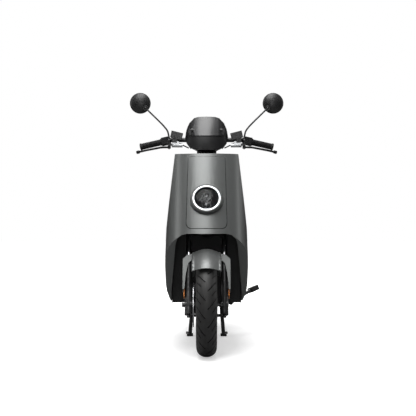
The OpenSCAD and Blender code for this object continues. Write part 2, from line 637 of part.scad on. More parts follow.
function tail_plan(i) = mirrored([[86 - i, 62 + i], [118 - i, 84 + i * 0.4], [138 - i, 130], [150 - i, 230], [150 - i, 480], [128 - i, 640],
    [92 - i, 780], [76 - i, 815 - i]]);
function tail_side(i, top, low) = [[60 + i, floor_z + 2 - low], [60 + i, tail_z - top], [745 + i, tail_z - top], [756 + i, 746 - top],
    [800, 750 - top], [816 - i, 700], [802 - i, 650 - low], [600, 592 - low], [470, 522 - low], [330, 432 - low],
    [200, 380 - low], [190, floor_z + 2 - low]];
module tail_panels() color(paint) difference() {
    union() {
        intersection() {
            plan_prism(tail_plan(0), 300, 800);
            side_prism(tail_side(0, 0, 0), 200);
        }
        // lugs for the seat's hinge pin
        both() {
            cross_pin(seat_hinge, 18, 28, 7.6);
            block([18, 28], [seat_hinge.y, 68], [seat_hinge.z - 13, seat_hinge.z + 2]);
        }
    }
    intersection() {
        plan_prism(tail_plan(wall), 200, 800);
        side_prism(tail_side(wall, wall, 60), 200);
    }
    block([-0.4, 0.4], [0, 900], [300, 800]);
    block([-bin_x - 0.6, bin_x + 0.6], [79.4, 420.6], [600, 800]);
    cross_pin(seat_hinge, -45, 45, 5 + run_fit);
    both() block([29, 39], [50, 68], [seat_hinge.z - 7, seat_z + 10]);
}
module rear_lamps() {
    color("darkred") block([-62, 62], [815.4, 828], [662, 712]);
    color("orange") both() {
        rod([96.4, 772, 690], [108, 772, 690], 7);
        translate([112, 764, 690]) rotate([-90, 0, 0]) cylinder(r = 15, h = 28);
    }
}
module seat_bin() color(black) difference() {
    union() {
        block([-bin_x, bin_x], [80, 420], [500, seat_z - 3]);
        block([-102, 102], [76, 429], [seat_z - 4, seat_z - 0.5]);
    }
    block([-bin_x + 3, bin_x - 3], [83, 417], [503, seat_z + 5]);
}
module motor_controller() color(alloy) {
    block([-60, 60], [420.4, 440], [560, 640]);
    for (x = [-54 : 12 : 54]) block([x - 1.5, x + 1.5], [439, 452], [562, 638]);
}
mudguard_r = tail_y - rear_axle.y;
module rear_mudguard() color(satin_black) translate([0, rear_axle.y, rear_axle.z + 2])
    fender_sweep(mudguard_r, [[60, 24], [64, 8], [56, 1.5], [20, 0]], 3.5, 84, 240);
module grab_rail() color(satin_black) {
    path = [[127, 515, 728], [124, 600, 764], [104, 700, 790], [62, 772, 800], [0, 786, 802]];
    both() {
        bent_rod(path, 10);
        rod([127, 515, tail_z + slip], [127, 515, 728], 10);
        translate([127, 515, 728]) sphere(r = 10);
        rod([62, 776, 750.6], [62, 772, 800], 8);
    }
}

// ---------- seat ----------

seat_half = [[50, 27], [86, 58], [118, 160], [132, 262], [128, 380], [112, 460], [98, 540], [88, 640], [76, 718], [50, 738]];
module seat_base() color(black) {
    difference() {
        plan_prism(mirrored([for (p = seat_half) [p.x - 4, p.y + (p.y < 100 ? 3 : p.y > 700 ? -3 : 0)]]), seat_z, seat_z + 12);
        block([-90, 90], [90, 410], [seat_z - 1, seat_z + 8]);
    }
    both() block([30, 38], [seat_hinge.y - 7, 64], [seat_z - 8, seat_z + 1]);
    cross_pin(seat_hinge, -38, 38, 5);
}
module seat_cushion() color([0.09, 0.09, 0.1]) intersection() {
    plan_prism(mirrored(seat_half), seat_z, 900);
    side_prism([[27, seat_z + 12 + slip], [27, seat_z + 52], [46, seat_z + 76], [120, seat_z + 84], [390, seat_z + 82],
        [440, seat_z + 104], [620, seat_z + 118], [712, seat_z + 114], [738, seat_z + 84], [738, seat_z + 12 + slip]], 200);
}

// ---------- chassis ----------

head_low = steer_pt(0, 0, head_low_h);
module chassis() color(satin_black) {
    difference() {
        union() {
            at_steer() translate([0, 0, head_low_h]) cylinder(r = head_r, h = head_high_h - head_low_h);
            rod(steer_pt(0, 0, head_low_h + 128), [0, -353, 280], 20);
        }
        at_steer() translate([0, 0, head_low_h - 60]) cylinder(r = bearing_r + run_fit, h = head_high_h + 80 - head_low_h);
    }
    // cross tubes
    cross_pin([0, -352, 282], -rail_x, rail_x, 17);
    cross_pin([0, 150, 262], -rail_x, rail_x, 15);
    cross_pin([0, 474, 616], -rail_x, rail_x, 10);
    both() {
        bent_rod([[rail_x, -352, 282], [rail_x, -300, rail_z], [rail_x, 150, 262], [rail_x, 215, 600],
            [rail_x, 480, 614], [62, 700, 650]], rail_r);
        // floor posts and tail panel stubs
        for (y = [-270, -60, 90]) {
            rod([rail_x + 24, y, 256], [rail_x + 24, y, floor_z - deck_t - slip], 7);
            cross_pin([0, y, 266], rail_x, rail_x + 26, 5);
        }
        for (y = [300, 440]) rod([rail_x, y, 608], [150 - wall - slip, y, 608], 7);
        // swingarm lugs with their struts
        bent_rod([[rail_x, 156, 264], [rail_x + 4, pivot.y, pivot.z], [rail_x, 330, 604]], 10);
        cross_pin(pivot, arm_x + arm_r + 0.6, rail_x + 8, 19);
        // shock pins
        block([shock_x - 25, shock_x - 14], [460, 482], [shock_top.z - 10, 612]);
        cross_pin(shock_top, shock_x - 20, shock_x + 16, 6);
        // centre stand lugs
        block([86.5, 94], [152, 208], [192, 262]);
        // tail hoop feet for the mudguard
        rod([70, 680, 646], [50, 640, 553], 7);
        block([42, 58], [630, 650], [547.2, 557]);
    }
    cross_pin(pivot, -rail_x, rail_x, 8);
    cross_pin(stand_pivot, -90, 90, 6);
    // side stand lug and pin
    rod([rail_x, 40, rail_z], side_pivot + 24 * side_axis - [6, 0, 0], 9);
    rod(side_pivot - 13 * side_axis, side_pivot + 24 * side_axis, 6);
}
module headset_bearings() color(steel) at_steer() for (h = [head_low_h + 1, head_high_h - bearing_l - 1])
    translate([0, 0, h]) difference() {
        cylinder(r = bearing_r, h = bearing_l);
        translate([0, 0, -1]) cylinder(r = stem_d / 2 + run_fit, h = bearing_l + 2);
    }

side_axis = -cross(side_leg, side_leg_down) / norm(cross(side_leg, side_leg_down));
side_toe = side_pivot + side_leg;
module side_stand() color(satin_black) difference() {
    union() {
        rod(side_pivot - 10 * side_axis, side_pivot + 10 * side_axis, 13);
        rod(side_pivot + side_leg * 0.04, side_toe, 8.5);
        translate(side_toe) rotate([0, -22, 0]) rotate([0, 0, 32]) block([-24, 24], [-24, 16], [-13, 13]);
    }
    rod(side_pivot - 20 * side_axis, side_pivot + 20 * side_axis, 6 + run_fit);
}
stand_feet = [88, 165];
module centre_stand() color(satin_black) {
    difference() {
        union() {
            cross_pin(stand_pivot, -85.6, 85.6, 12);
            both() rod([72, stand_pivot.y, stand_pivot.z], [stand_feet.x, stand_feet.y, 7], 10);
            cross_pin([0, 177, 105], -80, 80, 8);
        }
        cross_pin(stand_pivot, -100, 100, 6 + run_fit);
    }
    both() block([stand_feet.x - 16, stand_feet.x + 16], [stand_feet.y - 30, stand_feet.y + 20], [0, 12]);
    both() block([stand_feet.x + 8, stand_feet.x + 22], [stand_feet.y + 10, stand_feet.y + 62], [9, 16]);
}

// ---------- rear suspension ----------

module swingarm() color(satin_black) {
    difference() {
        union() {
            cross_pin(pivot, -arm_x - arm_r, arm_x + arm_r, 17);
            both() {
                rod([arm_x, pivot.y, pivot.z], [arm_x, rear_axle.y, rear_axle.z], arm_r);
                cross_pin(rear_axle, arm_x - 14, arm_x + 14, 22);
                block([arm_x - 8, arm_x + 8], [shock_low.y - 16, shock_low.y + 16], [245, shock_low.z + 8]);
            }
            block([-arm_x - 8, -arm_x + 8], [rear_axle.y - 62, rear_axle.y - 24], [250, arm_lug_z]);
        }
        cross_pin(pivot, -rail_x, rail_x, 8 + run_fit);
        cross_pin(rear_axle, -130, 130, rear_axle_d / 2 + run_fit);
    }
    both() cross_pin(shock_low, arm_x, shock_x + 14, 6);
    color(steel) cross_pin(rear_axle, -118, 118, rear_axle_d / 2);
}
module rear_caliper() color(satin_black) difference() {
    union() {
        translate([rear_disc_x - 17, rear_axle.y - 66, rear_axle.z + 50]) cube([33, 50, 46]);
        translate([-arm_x - 1, rear_axle.y - 60, arm_lug_z + slip]) cube([11, 34, 50]);
    }
    cross_pin(rear_axle, rear_disc_x - rear_disc_t / 2 - 1.2, rear_disc_x + rear_disc_t / 2 + 1.2, rear_disc_d / 2 + 2);
}

shock_len = norm(shock_top - shock_low);
// Local z runs from the top eye down to the lower eye.
module at_shock() along(shock_top + [shock_x, 0, 0], shock_low + [shock_x, 0, 0]) children();
module eye_bar(z, r, w) translate([0, 0, z]) rotate([90, 0, 0]) translate([0, 0, -w / 2]) cylinder(r = r, h = w);
module shock_bodies() color(satin_black) both() difference() {
    union() {
        cross_pin(shock_top, shock_x - 12, shock_x + 12, 13);
        at_shock() translate([0, 0, 8]) cylinder(r = 10, h = 20);
        at_shock() translate([0, 0, 26]) cylinder(r = 23, h = 7);
        at_shock() translate([0, 0, 30]) cylinder(r = 14.5, h = 150);
    }
    cross_pin(shock_top, shock_x - 20, shock_x + 20, 6 + run_fit);
    at_shock() translate([0, 0, 90]) cylinder(r = 5 + run_fit, h = 100);
    at_shock() translate([0, 0, 92]) cylinder(r = 9, h = 76);
}
module shock_rods() color(alloy) both() difference() {
    union() {
        at_shock() translate([0, 0, 148]) cylinder(r = 5, h = shock_len - 160);
        at_shock() translate([0, 0, shock_len - 36]) cylinder(r = 23, h = 7);
        at_shock() translate([0, 0, shock_len - 30]) cylinder(r = 10, h = 20);
        cross_pin(shock_low, shock_x - 9, shock_x + 12, 14);
    }
    cross_pin(shock_low, shock_x - 20, shock_x + 20, 6 + 0.9);
}
spring_turns = 8;
spring_seg = 12;
spring_r = 18.8;
wire_r = 3;
spring_z0 = 33 + wire_r + slip;
spring_z1 = shock_len - 36 - wire_r - slip;
function helix_pt(k, a) = let (u = k / (spring_turns * spring_seg), turn = 360 * k / spring_seg,
    r = spring_r + wire_r * cos(a)) [r * cos(turn), r * sin(turn), spring_z0 + (spring_z1 - spring_z0) * u + wire_r * sin(a)];
module shock_springs() color("silver") both() at_shock() {
    n = spring_turns * spring_seg;
    m = 6;
    polyhedron(
        points = [for (k = [0 : n], j = [0 : m - 1]) helix_pt(k, 360 * j / m)],
        faces = concat(
            [for (k = [0 : n - 1], j = [0 : m - 1]) [k * m + j, (k + 1) * m + j, (k + 1) * m + (j + 1) % m, k * m + (j + 1) % m]],
            [[for (j = [0 : m - 1]) j]],
            [[for (j = [m - 1 : -1 : 0]) n * m + j]]));
}

// ---------- nodes ----------

chassis();
headset_bearings();
front_shield();
centre_panel();
headlight_bezel();
headlight_housing();
light_ring();
headlight_lens();
inner_shield();
wheel_arch_liner();
floorboard();
side_skirts();
battery_pack();
tail_panels();
rear_lamps();
seat_bin();
rear_mudguard();
grab_rail();
motor_controller();
battery_lid();
floor_mat();
seat_base();
seat_cushion();
bag_hook();
key_barrel();
centre_stand();
side_stand();
fork_yoke();
fork_stanchions();
handlebar();
dash_housing();
flyscreen();
dash_display();
switch_pods();
brake_masters();
grip_left();
mirror_stems();
brake_hoses();
throttle_grip();
brake_lever_left();
brake_lever_right();
mirror_head_left();
mirror_head_right();
horn_button();
start_button();
fork_lowers();
front_fender();
front_caliper();
fork_reflectors();
front_tyre();
front_rim();
front_disc();
swingarm();
rear_caliper();
rear_tyre();
hub_motor();
rear_disc();
shock_bodies();
shock_rods();
shock_springs();
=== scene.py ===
import json, math
import bpy, bmesh
from mathutils import Matrix, Vector
from mathutils.bvhtree import BVHTree

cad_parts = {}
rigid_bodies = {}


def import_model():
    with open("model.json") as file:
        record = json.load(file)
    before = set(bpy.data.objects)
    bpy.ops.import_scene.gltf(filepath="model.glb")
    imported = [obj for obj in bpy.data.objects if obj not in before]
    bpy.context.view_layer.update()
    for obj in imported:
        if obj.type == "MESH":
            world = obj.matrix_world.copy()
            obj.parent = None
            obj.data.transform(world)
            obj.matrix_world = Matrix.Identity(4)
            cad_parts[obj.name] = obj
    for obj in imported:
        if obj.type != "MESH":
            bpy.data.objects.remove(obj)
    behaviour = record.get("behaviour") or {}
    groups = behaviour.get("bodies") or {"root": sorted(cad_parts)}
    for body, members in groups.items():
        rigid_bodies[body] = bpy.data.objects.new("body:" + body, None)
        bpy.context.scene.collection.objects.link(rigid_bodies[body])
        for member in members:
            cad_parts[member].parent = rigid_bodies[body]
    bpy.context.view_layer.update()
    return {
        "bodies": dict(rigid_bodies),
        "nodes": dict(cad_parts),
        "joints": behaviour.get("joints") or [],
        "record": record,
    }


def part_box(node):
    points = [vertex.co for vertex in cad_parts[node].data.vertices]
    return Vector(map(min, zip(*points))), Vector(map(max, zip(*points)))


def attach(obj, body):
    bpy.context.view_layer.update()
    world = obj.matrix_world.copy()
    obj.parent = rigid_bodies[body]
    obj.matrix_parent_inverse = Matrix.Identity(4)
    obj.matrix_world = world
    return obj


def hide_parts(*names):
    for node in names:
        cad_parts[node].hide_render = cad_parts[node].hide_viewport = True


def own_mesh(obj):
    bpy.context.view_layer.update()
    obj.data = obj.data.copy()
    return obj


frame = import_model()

nodes = frame["nodes"]
bodyOf = {n: b for b, names in frame["record"]["behaviour"]["bodies"].items() for n in names}
slotOf = {s["node"]: s["material_slot"] for s in frame["record"]["subparts"]}
deg = math.radians
mm = 0.001


def mathNode(tree, operation, a, b=None, clamp=False):
    n = tree.nodes.new("ShaderNodeMath")
    n.operation = operation
    n.use_clamp = clamp
    for socket, value in zip(n.inputs, (a, b)):
        if value is None:
            continue
        if isinstance(value, (int, float)):
            socket.default_value = value
        else:
            tree.links.new(value, socket)
    return n.outputs[0]


def mixColour(tree, fac, a, b):
    n = tree.nodes.new("ShaderNodeMix")
    n.data_type = "RGBA"
    for socket, value in ((n.inputs[0], fac), (n.inputs[6], a), (n.inputs[7], b)):
        if isinstance(value, (tuple, int, float)):
            socket.default_value = value
        else:
            tree.links.new(value, socket)
    return n.outputs[2]


def grey(level):
    return (level, level, level, 1)


shot = dict(place=(0.0065, -5.7765, 0.67), lens=98, sensor=36)
# the floor glows white away from its middle, the dome is white to the camera and faint to the object
room = dict(floorSize=30, floorDrop=0.0005, floorShade=0.3, floorSeen=0.86, floorRough=0.9, glow=(0.5, 1.9, 0.42, 1.0),
            air=0.1, domeRadius=17, domeFoot=-0.4, domeRise=0.06, domeTop=0.5, domeLow=0.02)
# name, place, aim, size and power of each softbox
studio = [
    ("topLight", (-0.25, -1.2, 3.3), (0, -0.2, 0.4), (1.7, 3.0), 112),
    ("frontStrip", (-0.1, -5.0, 1.5), (0, -0.6, 0.6), (0.7, 2.4), 26),
    ("leftStrip", (-3.0, -0.6, 1.5), (0, -0.1, 0.6), (0.6, 2.4), 16),
    ("rightStrip", (3.0, 0.2, 1.5), (0, 0.1, 0.6), (0.6, 2.4), 10),
    ("backLight", (0, 4.0, 2.4), (0, 0.4, 0.6), (2.2, 1.4), 45),
]


def makeCamera():
    data = bpy.data.cameras.new("shotCamera")
    data.lens = shot["lens"]
    data.sensor_width = shot["sensor"]
    cam = bpy.data.objects.new("shotCamera", data)
    cam.location = shot["place"]
    cam.rotation_euler = (deg(90), 0, 0)
    bpy.context.scene.collection.objects.link(cam)
    bpy.context.scene.camera = cam


def softbox(name, place, aim, size, power):
    data = bpy.data.lights.new(name, "AREA")
    data.shape = "RECTANGLE"
    data.size, data.size_y = size
    data.energy = power
    lamp = bpy.data.objects.new(name, data)
    lamp.location = place
    lamp.rotation_euler = (Vector(aim) - Vector(place)).to_track_quat("-Z", "Y").to_euler()
    bpy.context.scene.collection.objects.link(lamp)


def stagePiece(name, bm):
    mesh = bpy.data.meshes.new(name)
    bm.to_mesh(mesh)
    bm.free()
    obj = bpy.data.objects.new(name, mesh)
    bpy.context.scene.collection.objects.link(obj)
    return obj


def makeFloor():
    bm = bmesh.new()
    bmesh.ops.create_grid(bm, x_segments=1, y_segments=1, size=room["floorSize"])
    floor = stagePiece("studioFloor", bm)
    floor.location.z = -room["floorDrop"]
    mat = bpy.data.materials.new("studioWhite")
    mat.use_nodes = True
    t = mat.node_tree
    b = t.nodes["Principled BSDF"]
    b.inputs["Roughness"].default_value = room["floorRough"]
    b.inputs["Specular IOR Level"].default_value = 0.1
    b.inputs["Emission Color"].default_value = (1, 1, 1, 1)
    rays = t.nodes.new("ShaderNodeLightPath").outputs["Is Camera Ray"]
    t.links.new(mixColour(t, rays, grey(room["floorShade"]), grey(room["floorSeen"])), b.inputs["Base Color"])
    place = t.nodes.new("ShaderNodeTexCoord").outputs["Object"]
    away = t.nodes.new("ShaderNodeVectorMath")
    away.operation = "LENGTH"
    t.links.new(place, away.inputs[0])
    glow = t.nodes.new("ShaderNodeMapRange")
    glow.interpolation_type = "SMOOTHSTEP"
    for k, value in enumerate(room["glow"], 1):
        glow.inputs[k].default_value = value
    t.links.new(away.outputs["Value"], glow.inputs[0])
    t.links.new(mathNode(t, "MULTIPLY", glow.outputs[0], rays), b.inputs["Emission Strength"])
    floor.data.materials.append(mat)


def makeAir():
    world = bpy.data.worlds.new("studioAir")
    bpy.context.scene.world = world
    world.use_nodes = True
    world.node_tree.nodes["Background"].inputs["Color"].default_value = (1, 1, 1, 1)
    world.node_tree.nodes["Background"].inputs["Strength"].default_value = room["air"]


def makeDome():
    bm = bmesh.new()
    bmesh.ops.create_icosphere(bm, subdivisions=4, radius=room["domeRadius"])
    bmesh.ops.bisect_plane(bm, geom=bm.verts[:] + bm.edges[:] + bm.faces[:], dist=0.0001,
                           plane_co=(0, 0, room["domeFoot"]), plane_no=(0, 0, 1), clear_inner=True)
    bmesh.ops.reverse_faces(bm, faces=bm.faces)
    dome = stagePiece("studioDome", bm)
    mat = bpy.data.materials.new("studioHaze")
    mat.use_nodes = True
    t = mat.node_tree
    t.nodes.clear()
    out = t.nodes.new("ShaderNodeOutputMaterial")
    haze = t.nodes.new("ShaderNodeEmission")
    rays = t.nodes.new("ShaderNodeLightPath").outputs["Is Camera Ray"]
    lift = t.nodes.new("ShaderNodeSeparateXYZ")
    t.links.new(t.nodes.new("ShaderNodeTexCoord").outputs["Object"], lift.inputs[0])
    high = mathNode(t, "MULTIPLY", mathNode(t, "MULTIPLY", lift.outputs["Z"], room["domeRise"], True), room["domeTop"])
    t.links.new(mathNode(t, "MAXIMUM", rays, mathNode(t, "ADD", high, room["domeLow"])), haze.inputs["Strength"])
    t.links.new(haze.outputs[0], out.inputs["Surface"])
    dome.data.materials.append(mat)


makeCamera()
makeFloor()
makeAir()
makeDome()
for light in studio:
    softbox(*light)
bpy.context.scene.view_settings.view_transform = "Standard"
print("stage ready")


def newGroup(name, inputs, outputs):
    g = bpy.data.node_groups.new(name, "ShaderNodeTree")
    for label, kind, value in inputs:
        s = g.interface.new_socket(name=label, in_out="INPUT", socket_type=kind)
        if value is not None:
            s.default_value = value
    for label, kind in outputs:
        g.interface.new_socket(name=label, in_out="OUTPUT", socket_type=kind)
    return g, g.nodes.new("NodeGroupInput"), g.nodes.new("NodeGroupOutput")


def noiseNode(tree, vector, scale, detail=3.0, rough=0.55):
    n = tree.nodes.new("ShaderNodeTexNoise")
    n.inputs["Detail"].default_value = detail
    n.inputs["Roughness"].default_value = rough
    tree.links.new(vector, n.inputs["Vector"])
    if isinstance(scale, (int, float)):
        n.inputs["Scale"].default_value = scale
    else:
        tree.links.new(scale, n.inputs["Scale"])
    return n.outputs["Fac"]


def buildGrain():
    # moulded or cast grain: a fine field for bump and a broad one for tone
    g, i, o = newGroup("castGrain", [("Vector", "NodeSocketVector", None), ("Scale", "NodeSocketFloat", 900.0)],
                       [("Height", "NodeSocketFloat"), ("Tone", "NodeSocketFloat")])
    fine = noiseNode(g, i.outputs["Vector"], i.outputs["Scale"], 4, 0.6)
    broad = noiseNode(g, i.outputs["Vector"], mathNode(g, "MULTIPLY", i.outputs["Scale"], 0.02), 3, 0.5)
    g.links.new(fine, o.inputs["Height"])
    g.links.new(broad, o.inputs["Tone"])
    return g


rub = dict(edge=0.53, edgeGain=9, patchScale=60, patch=0.42, patchGain=4)


def buildWear():
    # rubbed edges, broken up so that they don't run evenly
    g, i, o = newGroup("edgeRub", [("Vector", "NodeSocketVector", None), ("Amount", "NodeSocketFloat", 0.3)],
                       [("Mask", "NodeSocketFloat")])
    geo = g.nodes.new("ShaderNodeNewGeometry")
    edge = mathNode(g, "SUBTRACT", geo.outputs["Pointiness"], rub["edge"])
    edge = mathNode(g, "MULTIPLY", edge, rub["edgeGain"], True)
    patch = mathNode(g, "SUBTRACT", noiseNode(g, i.outputs["Vector"], rub["patchScale"], 4, 0.6), rub["patch"])
    patch = mathNode(g, "MULTIPLY", patch, rub["patchGain"], True)
    mask = mathNode(g, "MULTIPLY", mathNode(g, "MULTIPLY", edge, patch), i.outputs["Amount"], True)
    g.links.new(mask, o.inputs["Mask"])
    return g


settle = dict(fall=1.1, upShare=0.6, lowShare=0.5, patchScale=24)


def buildDust():
    # thin dust on what faces up, more of it low down
    g, i, o = newGroup("restingDust", [("Vector", "NodeSocketVector", None), ("Amount", "NodeSocketFloat", 0.2)],
                       [("Mask", "NodeSocketFloat")])
    geo = g.nodes.new("ShaderNodeNewGeometry")
    up = g.nodes.new("ShaderNodeSeparateXYZ")
    g.links.new(geo.outputs["Normal"], up.inputs[0])
    high = g.nodes.new("ShaderNodeSeparateXYZ")
    g.links.new(i.outputs["Vector"], high.inputs[0])
    low = mathNode(g, "SUBTRACT", 1.0, mathNode(g, "MULTIPLY", high.outputs["Z"], settle["fall"]), True)
    face = mathNode(g, "ADD", mathNode(g, "MULTIPLY", up.outputs["Z"], settle["upShare"]),
                    mathNode(g, "MULTIPLY", low, settle["lowShare"]), True)
    spread = noiseNode(g, i.outputs["Vector"], settle["patchScale"], 4, 0.65)
    mask = mathNode(g, "MULTIPLY", mathNode(g, "MULTIPLY", face, spread), i.outputs["Amount"], True)
    g.links.new(mask, o.inputs["Mask"])
    return g


grainGroup, wearGroup, dustGroup = buildGrain(), buildWear(), buildDust()
dustTint = (0.36, 0.34, 0.31, 1)
grainDepth = 0.0004


def placeGroup(tree, group, vector, **values):
    n = tree.nodes.new("ShaderNodeGroup")
    n.node_tree = group
    tree.links.new(vector, n.inputs["Vector"])
    for label, value in values.items():
        n.inputs[label].default_value = value
    return n


def rgba(c):
    return (c[0], c[1], c[2], 1)


def finish(name, colour, rough, metal=0.0, coat=0.0, coatRough=0.1, grain=900, bump=0.0, tone=0.12, wear=0.0,
           wearColour=(0.3, 0.3, 0.3), dust=0.15, roughSpread=0.1, specular=0.5, sheen=0.0):
    mat = bpy.data.materials.new(name)
    mat.use_nodes = True
    t = mat.node_tree
    b = t.nodes["Principled BSDF"]
    coord = t.nodes.new("ShaderNodeTexCoord").outputs["Object"]
    g = placeGroup(t, grainGroup, coord, Scale=grain)
    r = placeGroup(t, wearGroup, coord, Amount=wear)
    d = placeGroup(t, dustGroup, coord, Amount=dust)
    lighter = tuple(min(1, c * (1 + tone) + tone * 0.01) for c in colour)
    darker = tuple(c * (1 - tone) for c in colour)
    base = mixColour(t, g.outputs["Tone"], rgba(darker), rgba(lighter))
    base = mixColour(t, r.outputs["Mask"], base, rgba(wearColour))
    base = mixColour(t, d.outputs["Mask"], base, dustTint)
    t.links.new(base, b.inputs["Base Color"])
    spread = mathNode(t, "MULTIPLY", mathNode(t, "SUBTRACT", g.outputs["Tone"], 0.5), roughSpread * 2)
    worn = mathNode(t, "ADD", mathNode(t, "ADD", spread, rough), mathNode(t, "MULTIPLY", d.outputs["Mask"], 0.5), True)
    t.links.new(worn, b.inputs["Roughness"])
    b.inputs["Metallic"].default_value = metal
    b.inputs["Coat Weight"].default_value = coat
    b.inputs["Coat Roughness"].default_value = coatRough
    b.inputs["Specular IOR Level"].default_value = specular
    b.inputs["Sheen Weight"].default_value = sheen
    if bump:
        n = t.nodes.new("ShaderNodeBump")
        n.inputs["Strength"].default_value = bump
        n.inputs["Distance"].default_value = grainDepth
        t.links.new(g.outputs["Height"], n.inputs["Height"])
        t.links.new(n.outputs["Normal"], b.inputs["Normal"])
    return mat


materials = {
    "panel_grey": finish("satinGreyPaint", (0.098, 0.103, 0.101), 0.36, metal=0.5, coat=0.3, coatRough=0.3, grain=2600,
                         bump=0.04, tone=0.04, dust=0.02, roughSpread=0.03),
    "matte_black": finish("grainedBlackPlastic", (0.0065, 0.0065, 0.007), 0.5, grain=1500, bump=0.3, wear=0.2,
                          wearColour=(0.04, 0.04, 0.04), dust=0.025, specular=0.35),
    "frame_black": finish("powderCoatBlack", (0.006, 0.006, 0.0065), 0.36, coat=0.15, coatRough=0.25, grain=1100,
                          bump=0.2, wear=0.4, wearColour=(0.07, 0.07, 0.07), dust=0.03, specular=0.4),
    "alloy_black": finish("castBlackAlloy", (0.009, 0.009, 0.0095), 0.34, metal=0.3, coat=0.15, coatRough=0.2,
                          grain=800, bump=0.15, wear=0.5, wearColour=(0.2, 0.2, 0.21), dust=0.02, specular=0.4),
    "stanchion_chrome": finish("hardChrome", (0.8, 0.8, 0.82), 0.16, metal=1.0, grain=1400, tone=0.05, dust=0.02,
                               roughSpread=0.04),
    "bright_steel": finish("groundSteel", (0.5, 0.5, 0.51), 0.28, metal=1.0, grain=1800, bump=0.1, tone=0.12, wear=0.2,
                           dust=0.03),
    "alloy_silver": finish("satinAlloy", (0.62, 0.63, 0.64), 0.32, metal=0.9, grain=1200, bump=0.1, tone=0.08,
                           dust=0.03),
    "tyre_rubber": finish("tyreRubber", (0.016, 0.016, 0.016), 0.5, grain=1300, bump=0.25, tone=0.2, wear=0.25,
                          wearColour=(0.05, 0.05, 0.048), dust=0.06, specular=0.4),
    "soft_rubber": finish("gripRubber", (0.007, 0.007, 0.007), 0.6, grain=2200, bump=0.4, tone=0.15, dust=0.02,
                          specular=0.3),
    "seat_leather": finish("seatHide", (0.011, 0.011, 0.012), 0.48, grain=420, bump=0.55, tone=0.14, wear=0.15,
                           wearColour=(0.045, 0.045, 0.045), dust=0.02, sheen=0.06, specular=0.4),
    "smoked": finish("smokedScreen", (0.009, 0.009, 0.01), 0.38, coat=0.3, coatRough=0.2, grain=2400, tone=0.04,
                     dust=0.01, roughSpread=0.03),
    "display_glass": finish("displayGlass", (0.004, 0.004, 0.005), 0.08, coat=0.5, coatRough=0.05, grain=1800,
                            tone=0.05, dust=0.02, roughSpread=0.03),
    "mirror_black": finish("mirrorShellBlack", (0.006, 0.006, 0.0065), 0.42, coat=0.15, coatRough=0.3, grain=500,
                           tone=0.1, dust=0.01, specular=0.4),
    "amber": finish("amberReflector", (0.55, 0.16, 0.008), 0.22, coat=0.5, coatRough=0.1, grain=700, bump=0.4,
                    tone=0.2, dust=0.03),
    "lamp_red": finish("redLens", (0.22, 0.005, 0.006), 0.16, coat=0.6, coatRough=0.06, grain=600, bump=0.2, tone=0.18,
                       dust=0.03),
    "spring_steel": finish("coatedSpring", (0.3, 0.3, 0.31), 0.3, metal=0.8, grain=1500, bump=0.1, wear=0.3,
                           dust=0.05),
}
# near-black, painted shade for the tyre groove floors and the panel gap line
grooveRubber = finish("grooveRubber", (0.004, 0.004, 0.004), 0.8, grain=1300, tone=0.2, dust=0.04, specular=0.15)
brakeSilver = finish("brakeSilver", (0.5, 0.51, 0.52), 0.3, metal=0.9, grain=900, bump=0.12, tone=0.1, wear=0.2,
                     dust=0.03)


def lampMaterial():
    mat = finish("lightRing", (0.9, 0.92, 0.95), 0.35, grain=900, tone=0.02, dust=0.0)
    b = mat.node_tree.nodes["Principled BSDF"]
    b.inputs["Emission Color"].default_value = (0.95, 0.98, 1, 1)
    b.inputs["Emission Strength"].default_value = 0.9
    return mat


def clearMaterial():
    mat = finish("clearLens", (0.02, 0.02, 0.022), 0.08, grain=500, tone=0.03, dust=0.0, roughSpread=0.02)
    mat.node_tree.nodes["Principled BSDF"].inputs["Alpha"].default_value = 0.14
    return mat


materials["lamp_white"] = lampMaterial()
materials["lens_clear"] = clearMaterial()
cowlBlack = finish("cowlBlack", (0.004, 0.004, 0.0045), 0.42, grain=1500, bump=0.15, tone=0.1, dust=0.01, specular=0.2)
lampDark = finish("lampDark", (0.004, 0.004, 0.0045), 0.4, grain=500, tone=0.1, dust=0.0, specular=0.3)
lampTrim = finish("lampTrim", (0.16, 0.165, 0.17), 0.3, metal=0.9, grain=500, tone=0.1, dust=0.0)
projectorGlass = finish("projectorGlass", (0.06, 0.065, 0.07), 0.22, metal=0.5, coat=1.0, coatRough=0.12, grain=400,
                        tone=0.1, dust=0.0, roughSpread=0.02)
mirrorGlass = finish("mirrorGlass", (0.86, 0.87, 0.88), 0.03, metal=1.0, grain=500, tone=0.03, dust=0.02,
                     roughSpread=0.02)
print("materials ready")

# the steering frame's Z runs up the steering axis, and the lamp's Z runs out along its beam
rake = deg(26)
steerFrame = Matrix.Translation((0, -0.7615, 0)) @ Matrix.Rotation(-rake, 4, "X")
lampFrame = steerFrame @ Matrix.Translation((0, -0.158, 0.7115)) @ Matrix.Rotation(deg(90), 4, "X")
alongX = Matrix.Rotation(deg(90), 4, "Y")


def lineFrame(start, end):
    start, end = Vector(start) * mm, Vector(end) * mm
    return Matrix.Translation(start) @ (end - start).to_track_quat("Z", "Y").to_matrix().to_4x4()


def mirrored(bm):
    bm.transform(Matrix.Scale(-1, 4, (1, 0, 0)))
    bmesh.ops.reverse_faces(bm, faces=bm.faces)


def bothSides(bm):
    geom = bm.verts[:] + bm.edges[:] + bm.faces[:]
    twin = bmesh.ops.duplicate(bm, geom=geom)["geom"]
    bmesh.ops.scale(bm, vec=(-1, 1, 1), verts=[g for g in twin if isinstance(g, bmesh.types.BMVert)])
    bmesh.ops.reverse_faces(bm, faces=[g for g in twin if isinstance(g, bmesh.types.BMFace)])
    return bm


def absorb(bm, other):
    mesh = bpy.data.meshes.new("joined")
    other.to_mesh(mesh)
    other.free()
    bm.from_mesh(mesh)
    bpy.data.meshes.remove(mesh)


